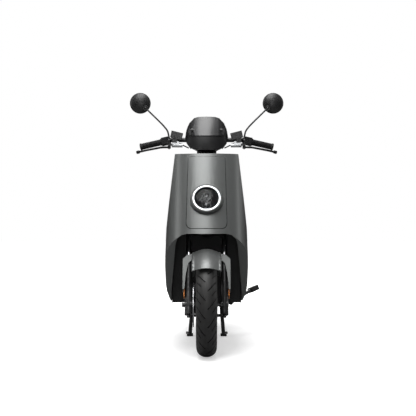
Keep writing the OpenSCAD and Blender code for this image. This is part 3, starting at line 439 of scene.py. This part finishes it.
def spun(points, frame, steps=64):
    # points are radius and height in millimetres, turned about the frame's own Z
    bm = bmesh.new()
    vs = [bm.verts.new((r * mm, 0, z * mm)) for r, z in points]
    es = [bm.edges.new(pair) for pair in zip(vs, vs[1:] + vs[:1])]
    bmesh.ops.spin(bm, geom=vs + es, cent=(0, 0, 0), axis=(0, 0, 1), angle=math.tau, steps=steps, use_merge=True)
    bmesh.ops.remove_doubles(bm, verts=bm.verts, dist=0.000002)
    bmesh.ops.recalc_face_normals(bm, faces=bm.faces)
    bm.transform(frame)
    return bm


def tubeAlong(points, radius, closed=False, rings=8):
    # a smooth round tube through points in millimetres
    curve = bpy.data.curves.new("tubePath", "CURVE")
    curve.dimensions = "3D"
    curve.bevel_depth = radius * mm
    curve.bevel_resolution = rings // 4
    curve.use_fill_caps = not closed
    spline = curve.splines.new("POLY")
    spline.points.add(len(points) - 1)
    for p, co in zip(spline.points, points):
        p.co = (co[0] * mm, co[1] * mm, co[2] * mm, 1)
    spline.use_cyclic_u = closed
    holder = bpy.data.objects.new("tubePath", curve)
    bpy.context.scene.collection.objects.link(holder)
    bpy.context.view_layer.update()
    mesh = bpy.data.meshes.new_from_object(holder.evaluated_get(bpy.context.evaluated_depsgraph_get()))
    bpy.data.objects.remove(holder)
    bpy.data.curves.remove(curve)
    bm = bmesh.new()
    bm.from_mesh(mesh)
    bpy.data.meshes.remove(mesh)
    bmesh.ops.remove_doubles(bm, verts=bm.verts, dist=0.00001)
    bmesh.ops.recalc_face_normals(bm, faces=bm.faces)
    return bm


def rounded(points, share=0.25, rounds=2):
    # cuts the corners of an open path, end points kept
    for _ in range(rounds):
        out = [points[0]]
        for a, b in zip(points, points[1:]):
            a, b = Vector(a), Vector(b)
            out += [a.lerp(b, share), a.lerp(b, 1 - share)]
        points = out + [points[-1]]
    return points


def applyNow(obj):
    bpy.context.view_layer.update()
    mesh = bpy.data.meshes.new_from_object(obj.evaluated_get(bpy.context.evaluated_depsgraph_get()))
    obj.modifiers.clear()
    obj.data = mesh


made = set()


def addPiece(name, bm, material, node=None, body=None, smooth=40):
    # a piece that replaces a node hides it and takes its body, and any other names its own
    mesh = bpy.data.meshes.new(name)
    for e in bm.edges:
        e.smooth = e.calc_face_angle(0) < deg(smooth)
    for f in bm.faces:
        f.smooth = True
    bm.to_mesh(mesh)
    bm.free()
    obj = bpy.data.objects.new(name, mesh)
    bpy.context.scene.collection.objects.link(obj)
    mesh.materials.append(material)
    if node:
        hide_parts(node)
        made.add(node)
        body = bodyOf[node]
    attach(obj, body)
    return obj


def soften(obj, width, segments=2, angle=32):
    m = obj.modifiers.new("soft edges", "BEVEL")
    m.width = width * mm
    m.segments = segments
    m.limit_method = "ANGLE"
    m.angle_limit = deg(angle)
    m.harden_normals = True
    return obj


def mergedCopy(node, dissolve=0.4):
    bm = bmesh.new()
    bm.from_mesh(nodes[node].data)
    bmesh.ops.remove_doubles(bm, verts=bm.verts, dist=0.00002)
    bmesh.ops.dissolve_limit(bm, angle_limit=deg(dissolve), verts=bm.verts, edges=bm.edges)
    return bm


def refineNode(node, width=0.8, segments=2, angle=32):
    obj = addPiece(node + "_made", mergedCopy(node), materials[slotOf[node]], node, smooth=angle)
    soften(obj, width, segments, angle)


sidewall = dict(start=-125, step=5, stations=51, ridge=0.8, ridgeFrom=92, ridgeTo=104, foot=0.4, wallTop=11)


def treadedTyre(name, node, axle, dims):
    half, seat, crown = dims["width"] / 2, dims["seat"], dims["diameter"] / 2
    mid, rise = (crown + seat) / 2, (crown - seat) / 2
    steps, pitch = dims["steps"], dims["pitch"]
    w, bead = sidewall, dims["bead"]
    side = []
    for k in range(w["stations"]):
        turn = w["start"] + w["step"] * k
        a = deg(turn)
        lateral = half * math.copysign(abs(math.sin(a)) ** dims["squareness"], math.sin(a))
        ridge = w["ridge"] if w["ridgeFrom"] < abs(turn) < w["ridgeTo"] else 0
        side.append((mid + rise * math.cos(a), lateral + math.copysign(ridge, lateral)))
    foot, top = seat + w["foot"], seat + w["wallTop"]
    section = [(foot, -bead), (top, -bead)] + side + [(top, bead), (foot, bead)]
    bm = bmesh.new()
    vs = [bm.verts.new((r * mm, 0, z * mm)) for r, z in section]
    es = [bm.edges.new(pair) for pair in zip(vs, vs[1:] + vs[:1])]
    bmesh.ops.spin(bm, geom=vs + es, cent=(0, 0, 0), axis=(0, 0, 1), angle=math.tau, steps=steps, use_merge=True)
    bmesh.ops.recalc_face_normals(bm, faces=bm.faces)
    grooves, sipes = [], []
    for f in bm.faces:
        c = f.calc_center_median()
        if c.xy.length < (crown - dims["shoulder"]) * mm:
            continue
        lateral = c.z / mm
        step = int((math.atan2(c.y, c.x) % math.tau) / math.tau * steps)
        phase = (step + (pitch // 2 if lateral > 0 else 0)) % pitch
        reach = abs(lateral) / half
        if phase == 0 and 0.1 < reach < 0.93:
            grooves.append(f)
        elif phase == pitch // 2 and 0.5 < reach < 0.93:
            sipes.append(f)
    for faces, depth in ((grooves, dims["groove"]), (sipes, dims["groove"] * 0.6)):
        bmesh.ops.inset_region(bm, faces=faces, thickness=0.0004, depth=-depth * mm, use_even_offset=True,
                               use_boundary=True)
        # groove and sipe floors take the near-black second slot, painted shade inside the cuts
        for f in faces:
            f.material_index = 1
    for v in bm.verts:  # sweeps the straight cuts back towards the shoulders
        turn = dims["sweep"] * min(1, abs(v.co.z) / (half * mm)) ** 1.4
        v.co = Matrix.Rotation(turn, 3, "Z") @ v.co
    bm.transform(Matrix.Translation(Vector(axle) * mm) @ alongX)
    tyre = addPiece(name, bm, materials["tyre_rubber"], node, smooth=38)
    # second slot: painted shade for the groove floors
    tyre.data.materials.append(grooveRubber)
    return tyre


frontTyre = dict(diameter=467, width=92, seat=152.5, bead=30.4, squareness=0.95, steps=216, pitch=12, shoulder=46,
                 groove=4.2, sweep=deg(-15))
rearTyre = dict(diameter=473, width=118, seat=152.5, bead=41.4, squareness=0.8, steps=216, pitch=12, shoulder=40,
                groove=4.5, sweep=deg(-14))
treadedTyre("frontTyreTread", "front_tyre", (0, -676.5, 233.5), frontTyre)
treadedTyre("rearTyreTread", "rear_tyre", (0, 603.5, 240.5), rearTyre)
print("tyres ready")

mirror = dict(place=(322, -279, 1178), radius=50.5, ball=(295, -303, 1153))


def mirrorHead(side):
    r = mirror["radius"]
    headFrame = Matrix.Translation(Vector(mirror["place"]) * mm) @ Matrix.Rotation(deg(90), 4, "X")
    shell = spun([(r, 0), (r, 5), (r - 0.8, 8), (r - 3, 11.5), (r - 7, 15), (r - 13, 18.4), (r - 20, 21.4),
                  (r - 28, 24), (r - 38, 26.2), (0, 27), (0, 23.6), (r - 38, 22.8), (r - 28, 20.6), (r - 20, 17.8),
                  (r - 13, 14.6), (r - 8, 10.6), (r - 4.6, 6.4), (r - 4, 3.4), (r - 4, 0.6), (r - 3, 0)], headFrame, 72)
    ballFrame = Matrix.Translation(Vector(mirror["ball"]) * mm) @ Matrix.Rotation(deg(90), 4, "X")
    absorb(shell, spun([(7.4, 2), (10.5, 2.4), (12.6, 0), (13.4, -4), (13.4, -14), (7.6, -14)], ballFrame, 40))
    glass = spun([(0, 0.6), (r - 4.6, 0.6), (r - 4.4, 1.2), (r - 4.4, 3.6), (0, 3.6)], headFrame, 72)
    if side == "right":
        mirrored(shell)
        mirrored(glass)
    addPiece("mirrorShell_" + side, shell, materials["mirror_black"], "mirror_head_" + side, smooth=50)
    addPiece("mirrorGlass_" + side, glass, mirrorGlass, body=side + "_mirror")


for side in ("left", "right"):
    mirrorHead(side)

stem = dict(points=[(181, -320, 988.3), (181, -320, 1012), (190, -318, 1050), (295, -303, 1153)], radius=4,
            nut=(181, -320, 988))
stems = tubeAlong(rounded(stem["points"], 0.2, 3), stem["radius"], rings=12)
absorb(stems, spun([(0, -6.8), (3, -6.3), (5.4, -4.2), (6.6, -1.6), (6.8, 1), (5.8, 3.8), (3.4, 6), (0, 6.8)],
                   Matrix.Translation(Vector(mirror["ball"]) * mm), 24))
absorb(stems, spun([(4.05, 0.4), (8.6, 0.4), (8.6, 7), (7.4, 9), (5, 13), (4.05, 14)],
                   Matrix.Translation(Vector(stem["nut"]) * mm), 6))
addPiece("mirrorStems", bothSides(stems), materials["frame_black"], "mirror_stems", smooth=35)

grip = dict(start=49, end=158, radius=15.5, bore=11.15, rib=4.4, inner=(170, -283, 1000), outer=(318, -258, 968))


def ribbedGrip(name, node, side):
    g = grip
    profile = [(g["bore"], g["start"]), (18.6, g["start"]), (18.6, g["start"] + 3.4), (17.4, g["start"] + 5)]
    s = g["start"] + 6
    r, end = g["radius"], g["end"]
    while s < end - 12:
        profile += [(r - 1.5, s), (r, s + 0.7), (r, s + 2.6), (r - 1.5, s + 3.3)]
        s += g["rib"]
    profile += [(r - 1, s), (17.2, end - 5), (17.4, end - 2), (16.4, end), (0, end + 0.4), (0, end - 4),
                (g["bore"], end - 4)]
    inner, outer = ((side * x, y, z) for x, y, z in (g["inner"], g["outer"]))
    addPiece(name, spun(profile, lineFrame(inner, outer), 40), materials["soft_rubber"], node, smooth=30)


ribbedGrip("ribbedGripLeft", "grip_left", 1)
ribbedGrip("ribbedGripRight", "throttle_grip", -1)
print("bar pieces ready")

# radius and height along the beam of each turned part
lamp = dict(
    steps=96, projectorSteps=48, projectors=(("upper", 21.5), ("lower", -21.5)),
    ring=[(57, 12), (64, 12), (64, 17.6), (62.6, 19.6), (60.5, 20.4), (58.4, 19.6), (57, 17.6)],
    seat=[(54.7, 6.2), (65.3, 6.2), (65.3, 16.4), (64.1, 17.2), (64.1, 12.4), (56.9, 12.4), (56.9, 17), (54.7, 15.4)],
    glass=[(0, 16), (16, 15.8), (30, 15.2), (42, 14), (50, 12.2), (54.3, 9.8), (54.3, 7.2), (49, 9.6), (41, 11.4),
           (30, 12.5), (16, 13.1), (0, 13.3)],
    bowl=[(0, -65.8), (38, -65.8), (65.2, -30), (65.2, 5.4), (52, 5.4), (52, -2), (50, -3), (50, -12), (47.5, -13.5),
          (47.5, -22), (44, -24), (44, -33), (39, -36), (34, -57.6), (0, -57.8)],
    barrel=[(0, -57), (19.8, -57), (19.8, -20), (19, -17), (17, -16), (15.6, -17.4), (15.6, -24), (0, -24)],
    lens=[(0, -23.6), (15.2, -23.6), (15.2, -20), (14, -16.4), (11.6, -13.6), (8, -11.6), (4, -10.6), (0, -10.3)],
    trim=[(16.4, -16.4), (19.6, -17.4), (20.6, -15.6), (18.6, -13.8), (16.8, -14.4)])


def lampPart(part):
    return spun(lamp[part], lampFrame, lamp["steps"])


addPiece("lightRing", lampPart("ring"), materials["lamp_white"], "light_ring", smooth=50)
addPiece("ringSeat", lampPart("seat"), materials["mirror_black"], body="frame", smooth=40)
addPiece("lampGlass", lampPart("glass"), materials["lens_clear"], "headlight_lens", smooth=60)
addPiece("lampBowl", lampPart("bowl"), lampDark, "headlight_housing", smooth=30)
for name, offset in lamp["projectors"]:
    lens = lampFrame @ Matrix.Translation((0, offset * mm, 0))
    for label, part, material, slot, smooth in (("projectorBarrel_", "barrel", lampDark, "alloy_black", 35),
                                                ("projectorLens_", "lens", projectorGlass, "lens_clear", 60),
                                                ("projectorTrim_", "trim", lampTrim, "bright_steel", 50)):
        addPiece(label + name, spun(lamp[part], lens, lamp["projectorSteps"]), material, body="frame",
                 smooth=smooth)
print("headlight ready")

spring = dict(top=(114, 470, 580), low=(114, 565, 262), turns=8, radius=18.8, wire=3.6, lead=36.4, tail=39.4,
              travelWay=(0, 0.0282, 0.9996), upperSeat=(0.114, 0.4804, 0.5451), keep=0.828)


def coil():
    s = spring
    top, low = Vector(s["top"]) * mm, Vector(s["low"]) * mm
    length = (low - top).length / mm
    start, end = s["lead"], length - s["tail"]
    steps = s["turns"] * 20
    bm = bmesh.new()
    wire = bmesh.ops.create_circle(bm, cap_ends=True, segments=10, radius=s["wire"] * mm)
    bmesh.ops.rotate(bm, verts=wire["verts"], cent=(0, 0, 0), matrix=Matrix.Rotation(deg(90), 3, "X"))
    bmesh.ops.translate(bm, verts=wire["verts"], vec=(s["radius"] * mm, 0, start * mm))
    bmesh.ops.spin(bm, geom=bm.faces[:], cent=(0, 0, 0), axis=(0, 0, 1), angle=math.tau * s["turns"], steps=steps,
                   dvec=(0, 0, (end - start) * mm / steps))
    bmesh.ops.remove_doubles(bm, verts=bm.verts, dist=0.000001)
    bmesh.ops.recalc_face_normals(bm, faces=bm.faces)
    bm.transform(lineFrame(s["top"], s["low"]))
    return bm


coils = addPiece("shockCoils", bothSides(coil()), materials["spring_steel"], "shock_springs", smooth=60)
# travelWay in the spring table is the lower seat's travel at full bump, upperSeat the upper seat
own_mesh(coils)

saddle = dict(narrow=0.97, shrink=0.006, voxel=0.006, pressure=4, cap=0.024, floorZ=0.7056, crown=0.012, over=0.01,
              channels=(0.19, 0.27, 0.35, 0.52, 0.62), channelDepth=0.0042, channelWidth=0.0052, channelBow=0.35)


def seatCushion():
    s = saddle
    cad = mergedCopy("seat_cushion")
    for v in cad.verts:
        v.co.x *= s["narrow"]
    mesh = bpy.data.meshes.new("saddleStart")
    cad.to_mesh(mesh)
    cad.free()
    obj = bpy.data.objects.new("saddleStart", mesh)
    bpy.context.scene.collection.objects.link(obj)
    remesh = obj.modifiers.new("voxels", "REMESH")
    remesh.mode = "VOXEL"
    remesh.voxel_size = s["voxel"]
    applyNow(obj)
    bm = bmesh.new()
    bm.from_mesh(obj.data)
    bm.normal_update()
    for v in bm.verts:
        if v.normal.z > -0.6:
            v.co -= v.normal * s["shrink"] * (0.5 if v.co.z < s["floorZ"] + 0.012 else 1)
    bmesh.ops.smooth_vert(bm, verts=bm.verts, factor=0.5, use_axis_x=True, use_axis_y=True, use_axis_z=True)
    bm.to_mesh(obj.data)
    bm.free()
    before = [v.co.copy() for v in obj.data.vertices]
    cloth = obj.modifiers.new("padding", "CLOTH")
    cloth.settings.quality = 5
    cloth.settings.mass = 0.3
    cloth.settings.tension_stiffness = 20
    cloth.settings.compression_stiffness = 20
    cloth.settings.bending_stiffness = 1.2
    cloth.settings.use_pressure = True
    cloth.settings.uniform_pressure_force = s["pressure"]
    cloth.settings.effector_weights.gravity = 0
    scene = bpy.context.scene
    for f in range(1, 21):
        scene.frame_set(f)
    applyNow(obj)
    scene.frame_set(1)
    for v, old in zip(obj.data.vertices, before):
        move = v.co - old
        if move.length > s["cap"]:
            v.co = old + move.normalized() * s["cap"]
    bm = bmesh.new()
    bm.from_mesh(obj.data)
    bpy.data.objects.remove(obj)
    low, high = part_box("seat_cushion")
    for v in bm.verts:
        v.co.z = min(max(v.co.z, s["floorZ"]), high.z + s["crown"])
        v.co.y = min(max(v.co.y, low.y - s["over"]), high.y + s["over"])
    for _ in range(2):
        bmesh.ops.smooth_vert(bm, verts=[v for v in bm.verts if v.co.z > s["floorZ"] + 0.002], factor=0.4,
                              use_axis_x=True, use_axis_y=True, use_axis_z=True)
    bm.normal_update()
    for v in bm.verts:
        if v.normal.z < 0.35:
            continue
        sag = 0
        for y in s["channels"]:
            curve = y + s["channelBow"] * v.co.x * v.co.x / 0.1  # channels bow back towards the sides
            sag = max(sag, math.exp(-((v.co.y - curve) / s["channelWidth"]) ** 2))
        v.co.z -= s["channelDepth"] * sag
    return bm


cordTrim = dict(start=0.075, step=0.0135, stations=48, slab=0.006, proud=0.0004, radius=2.6, rounds=4)


def shoulderLine(bm):
    # the highest, widest point of the pad at even stations, for the piping
    c = cordTrim
    line = []
    for k in range(c["stations"]):
        y = c["start"] + c["step"] * k
        slab = [v for v in bm.verts if abs(v.co.y - y) < c["slab"] and v.co.x > 0]
        if slab:
            best = max(slab, key=lambda v: v.co.x * 0.9 + v.co.z)
            line.append(best.co + Vector((best.normal.x, 0, best.normal.z)).normalized() * c["proud"])
    smooth = line
    for _ in range(c["rounds"]):
        smooth = [smooth[0]] + [(a + b * 2 + c) / 4 for a, b, c in zip(smooth, smooth[1:], smooth[2:])] + [smooth[-1]]
    return [p / mm for p in smooth]


pad = seatCushion()
line = shoulderLine(pad)
cushion = addPiece("saddlePad", pad, materials["seat_leather"], "seat_cushion", smooth=180)
fine = cushion.modifiers.new("fine surface", "SUBSURF")
fine.levels = fine.render_levels = 1
piping = tubeAlong([Vector((-p.x, p.y, p.z)) for p in reversed(line)] + line, cordTrim["radius"], closed=True)
addPiece("saddlePiping", piping, materials["soft_rubber"], body="seat", smooth=60)
print("saddle ready")


def relaxSkin(bm, spacing, keep, rounds):
    # cuts a moulding into small faces and evens out its shallow creases, with sharp rims held
    lows = [min(v.co[k] for v in bm.verts) for k in range(3)]
    highs = [max(v.co[k] for v in bm.verts) for k in range(3)]
    for k, axis in enumerate(((1, 0, 0), (0, 1, 0), (0, 0, 1))):
        count = int((highs[k] - lows[k]) / (spacing * mm))
        for n in range(1, count):
            place = [0, 0, 0]
            place[k] = lows[k] + (highs[k] - lows[k]) * n / count
            bmesh.ops.bisect_plane(bm, geom=bm.verts[:] + bm.edges[:] + bm.faces[:], dist=0.00001, plane_co=place,
                                   plane_no=axis)
    free = [v for v in bm.verts if all(math.degrees(e.calc_face_angle(180)) < keep for e in v.link_edges)]
    for _ in range(rounds):
        bmesh.ops.smooth_vert(bm, verts=free, factor=0.5, use_axis_x=True, use_axis_y=True, use_axis_z=True)
    return bm


panels = {
    "dash_housing": dict(spacing=9, keep=66, rounds=40, edge=1.2, finish=cowlBlack),
    "flyscreen": dict(spacing=8, keep=50, rounds=90, edge=0.8),
    "tail_panels": dict(spacing=22, keep=40, rounds=10, edge=1.2),
    "side_skirts": dict(spacing=22, keep=40, rounds=12, edge=1.4),
}
# face is the radius of the screw faces made near-black, painted shade for the recesses they sit in
screw = dict(x=70, h=1148.6, reach=9, drop=43.5, face=6.2)


def lowerScrews(bm):
    # the two screen screws sit lower down, moved along the steering axis with the rims of their holes
    toSteer = steerFrame.inverted()
    for v in bm.verts:
        here = toSteer @ v.co
        if math.hypot(abs(here.x) / mm - screw["x"], here.z / mm - screw["h"]) < screw["reach"]:
            v.co = steerFrame @ (here - Vector((0, 0, screw["drop"] * mm)))
    # faces round the moved screws take the near-black second slot, painted shade for their recesses
    for f in bm.faces:
        here = toSteer @ f.calc_center_median()
        if math.hypot(abs(here.x) / mm - screw["x"], here.z / mm - screw["h"] + screw["drop"]) < screw["face"]:
            f.material_index = 1


bulge = dict(middle=1088, half=98, depth=15, start=55, ramp=40)


def bulgeFront(bm):
    # the cowl's face and the screen swell forwards together, most at mid height
    g, toSteer = bulge, steerFrame.inverted()
    for v in bm.verts:
        here = toSteer @ v.co
        lift = max(0, 1 - ((here.z / mm - g["middle"]) / g["half"]) ** 2)
        reach = min(1, max(0, (-here.y / mm - g["start"]) / g["ramp"]))
        v.co = steerFrame @ (here - Vector((0, g["depth"] * mm * lift * reach, 0)))


for node, p in panels.items():
    copy = mergedCopy(node)
    if node == "flyscreen":
        lowerScrews(copy)
    skin = relaxSkin(copy, p["spacing"], p["keep"], p["rounds"])
    if node in ("flyscreen", "dash_housing"):
        bulgeFront(skin)
    piece = addPiece(node + "_made", skin, p.get("finish") or materials[slotOf[node]], node, smooth=44)
    soften(piece, p["edge"], 3, 50)
    # second slot: painted shade for the screw recesses on the screen
    piece.data.materials.append(lampDark)

fender = dict(axle=(0, -0.6765, 0.2335), halfWidth=0.066, depth=0.009, fadeFrom=0.8, fadeTo=1.02, fade=0.22)


def domedFender():
    # the guard's crown is rounded further down towards its sides, about the wheel's axle
    d = fender
    bm = relaxSkin(mergedCopy("front_fender"), 14, 40, 6)
    axle = Vector(d["axle"])
    for v in bm.verts:
        share = abs(v.co.x) / d["halfWidth"]
        if share < d["fadeTo"]:
            out = Vector((0, v.co.y - axle.y, v.co.z - axle.z))
            hold = 1 if share < d["fadeFrom"] else max(0, (d["fadeTo"] - share) / d["fade"])
            v.co -= out.normalized() * d["depth"] * math.sin(min(1, share) * math.pi * 0.5) ** 2 * hold
    return bm


soften(addPiece("frontFenderDomed", domedFender(), materials["panel_grey"], "front_fender", smooth=44), 1.2, 3, 50)
for node, width in (("front_shield", 2.2), ("centre_panel", 2.4), ("headlight_bezel", 2)):
    refineNode(node, width, 3, 30)

# a near-black tube laid along the gap round the centre panel, painted shade for that gap
seam = dict(outline=[(0, 577), (72, 577), (80, 579), (86, 583), (90.5, 589), (93, 600), (86, 912)], radius=1.7,
            sink=0.5, step=8, frontOf=-0.45)
corners, facets = [], []
for name in ("front_shield", "centre_panel"):
    facets += [[i + len(corners) for i in f.vertices] for f in nodes[name].data.polygons]
    corners += [v.co.copy() for v in nodes[name].data.vertices]
tree = BVHTree.FromPolygons(corners, facets)


def onShield(x, z):
    # a ray that slips through the gap beside the panel is tried again close by
    for nudge in (0, 1.2, -1.2, 2):
        hit = tree.ray_cast(Vector(((x + nudge) * mm, -2, (z + nudge) * mm)), Vector((0, 1, 0)))[0]
        if hit and hit.y < seam["frontOf"]:
            return Vector((x, hit.y / mm + seam["sink"], z))
    return None


path = []
for (x0, z0), (x1, z1) in zip(seam["outline"], seam["outline"][1:]):
    cuts = max(2, int(math.hypot(x1 - x0, z1 - z0) / seam["step"]))
    path += [onShield(x0 + (x1 - x0) * k / cuts, z0 + (z1 - z0) * k / cuts) for k in range(cuts)]
path = [q for q in path if q]
gapShadeTube = tubeAlong([Vector((-q.x, q.y, q.z)) for q in reversed(path[1:])] + path, seam["radius"])
addPiece("panelSeam", gapShadeTube, grooveRubber, body="frame", smooth=60)

twoTone = dict(indicatorOut=0.09, cylinderTop=0.99, cylinderOut=0.171)
lamps = mergedCopy("rear_lamps")
for f in lamps.faces:
    if abs(f.calc_center_median().x) > twoTone["indicatorOut"]:
        f.material_index = 1  # the round indicators
lamps = soften(addPiece("rearLampLenses", lamps, materials["lamp_red"], "rear_lamps", smooth=32), 2.0, 3)
lamps.data.materials.append(materials["amber"])

masters = mergedCopy("brake_masters")
for f in masters.faces:
    c = f.calc_center_median()
    if c.z < twoTone["cylinderTop"] and abs(c.x) < twoTone["cylinderOut"]:
        f.material_index = 1  # the bare cylinders under the reservoirs
masters = soften(addPiece("brakeMasters", masters, materials["frame_black"], "brake_masters", smooth=32), 0.9)
masters.data.materials.append(brakeSilver)
print("panels ready")

# everything else keeps its CAD shape with eased edges
for name in sorted(nodes):
    if name not in made:
        refineNode(name)
print("mechanical pieces ready")
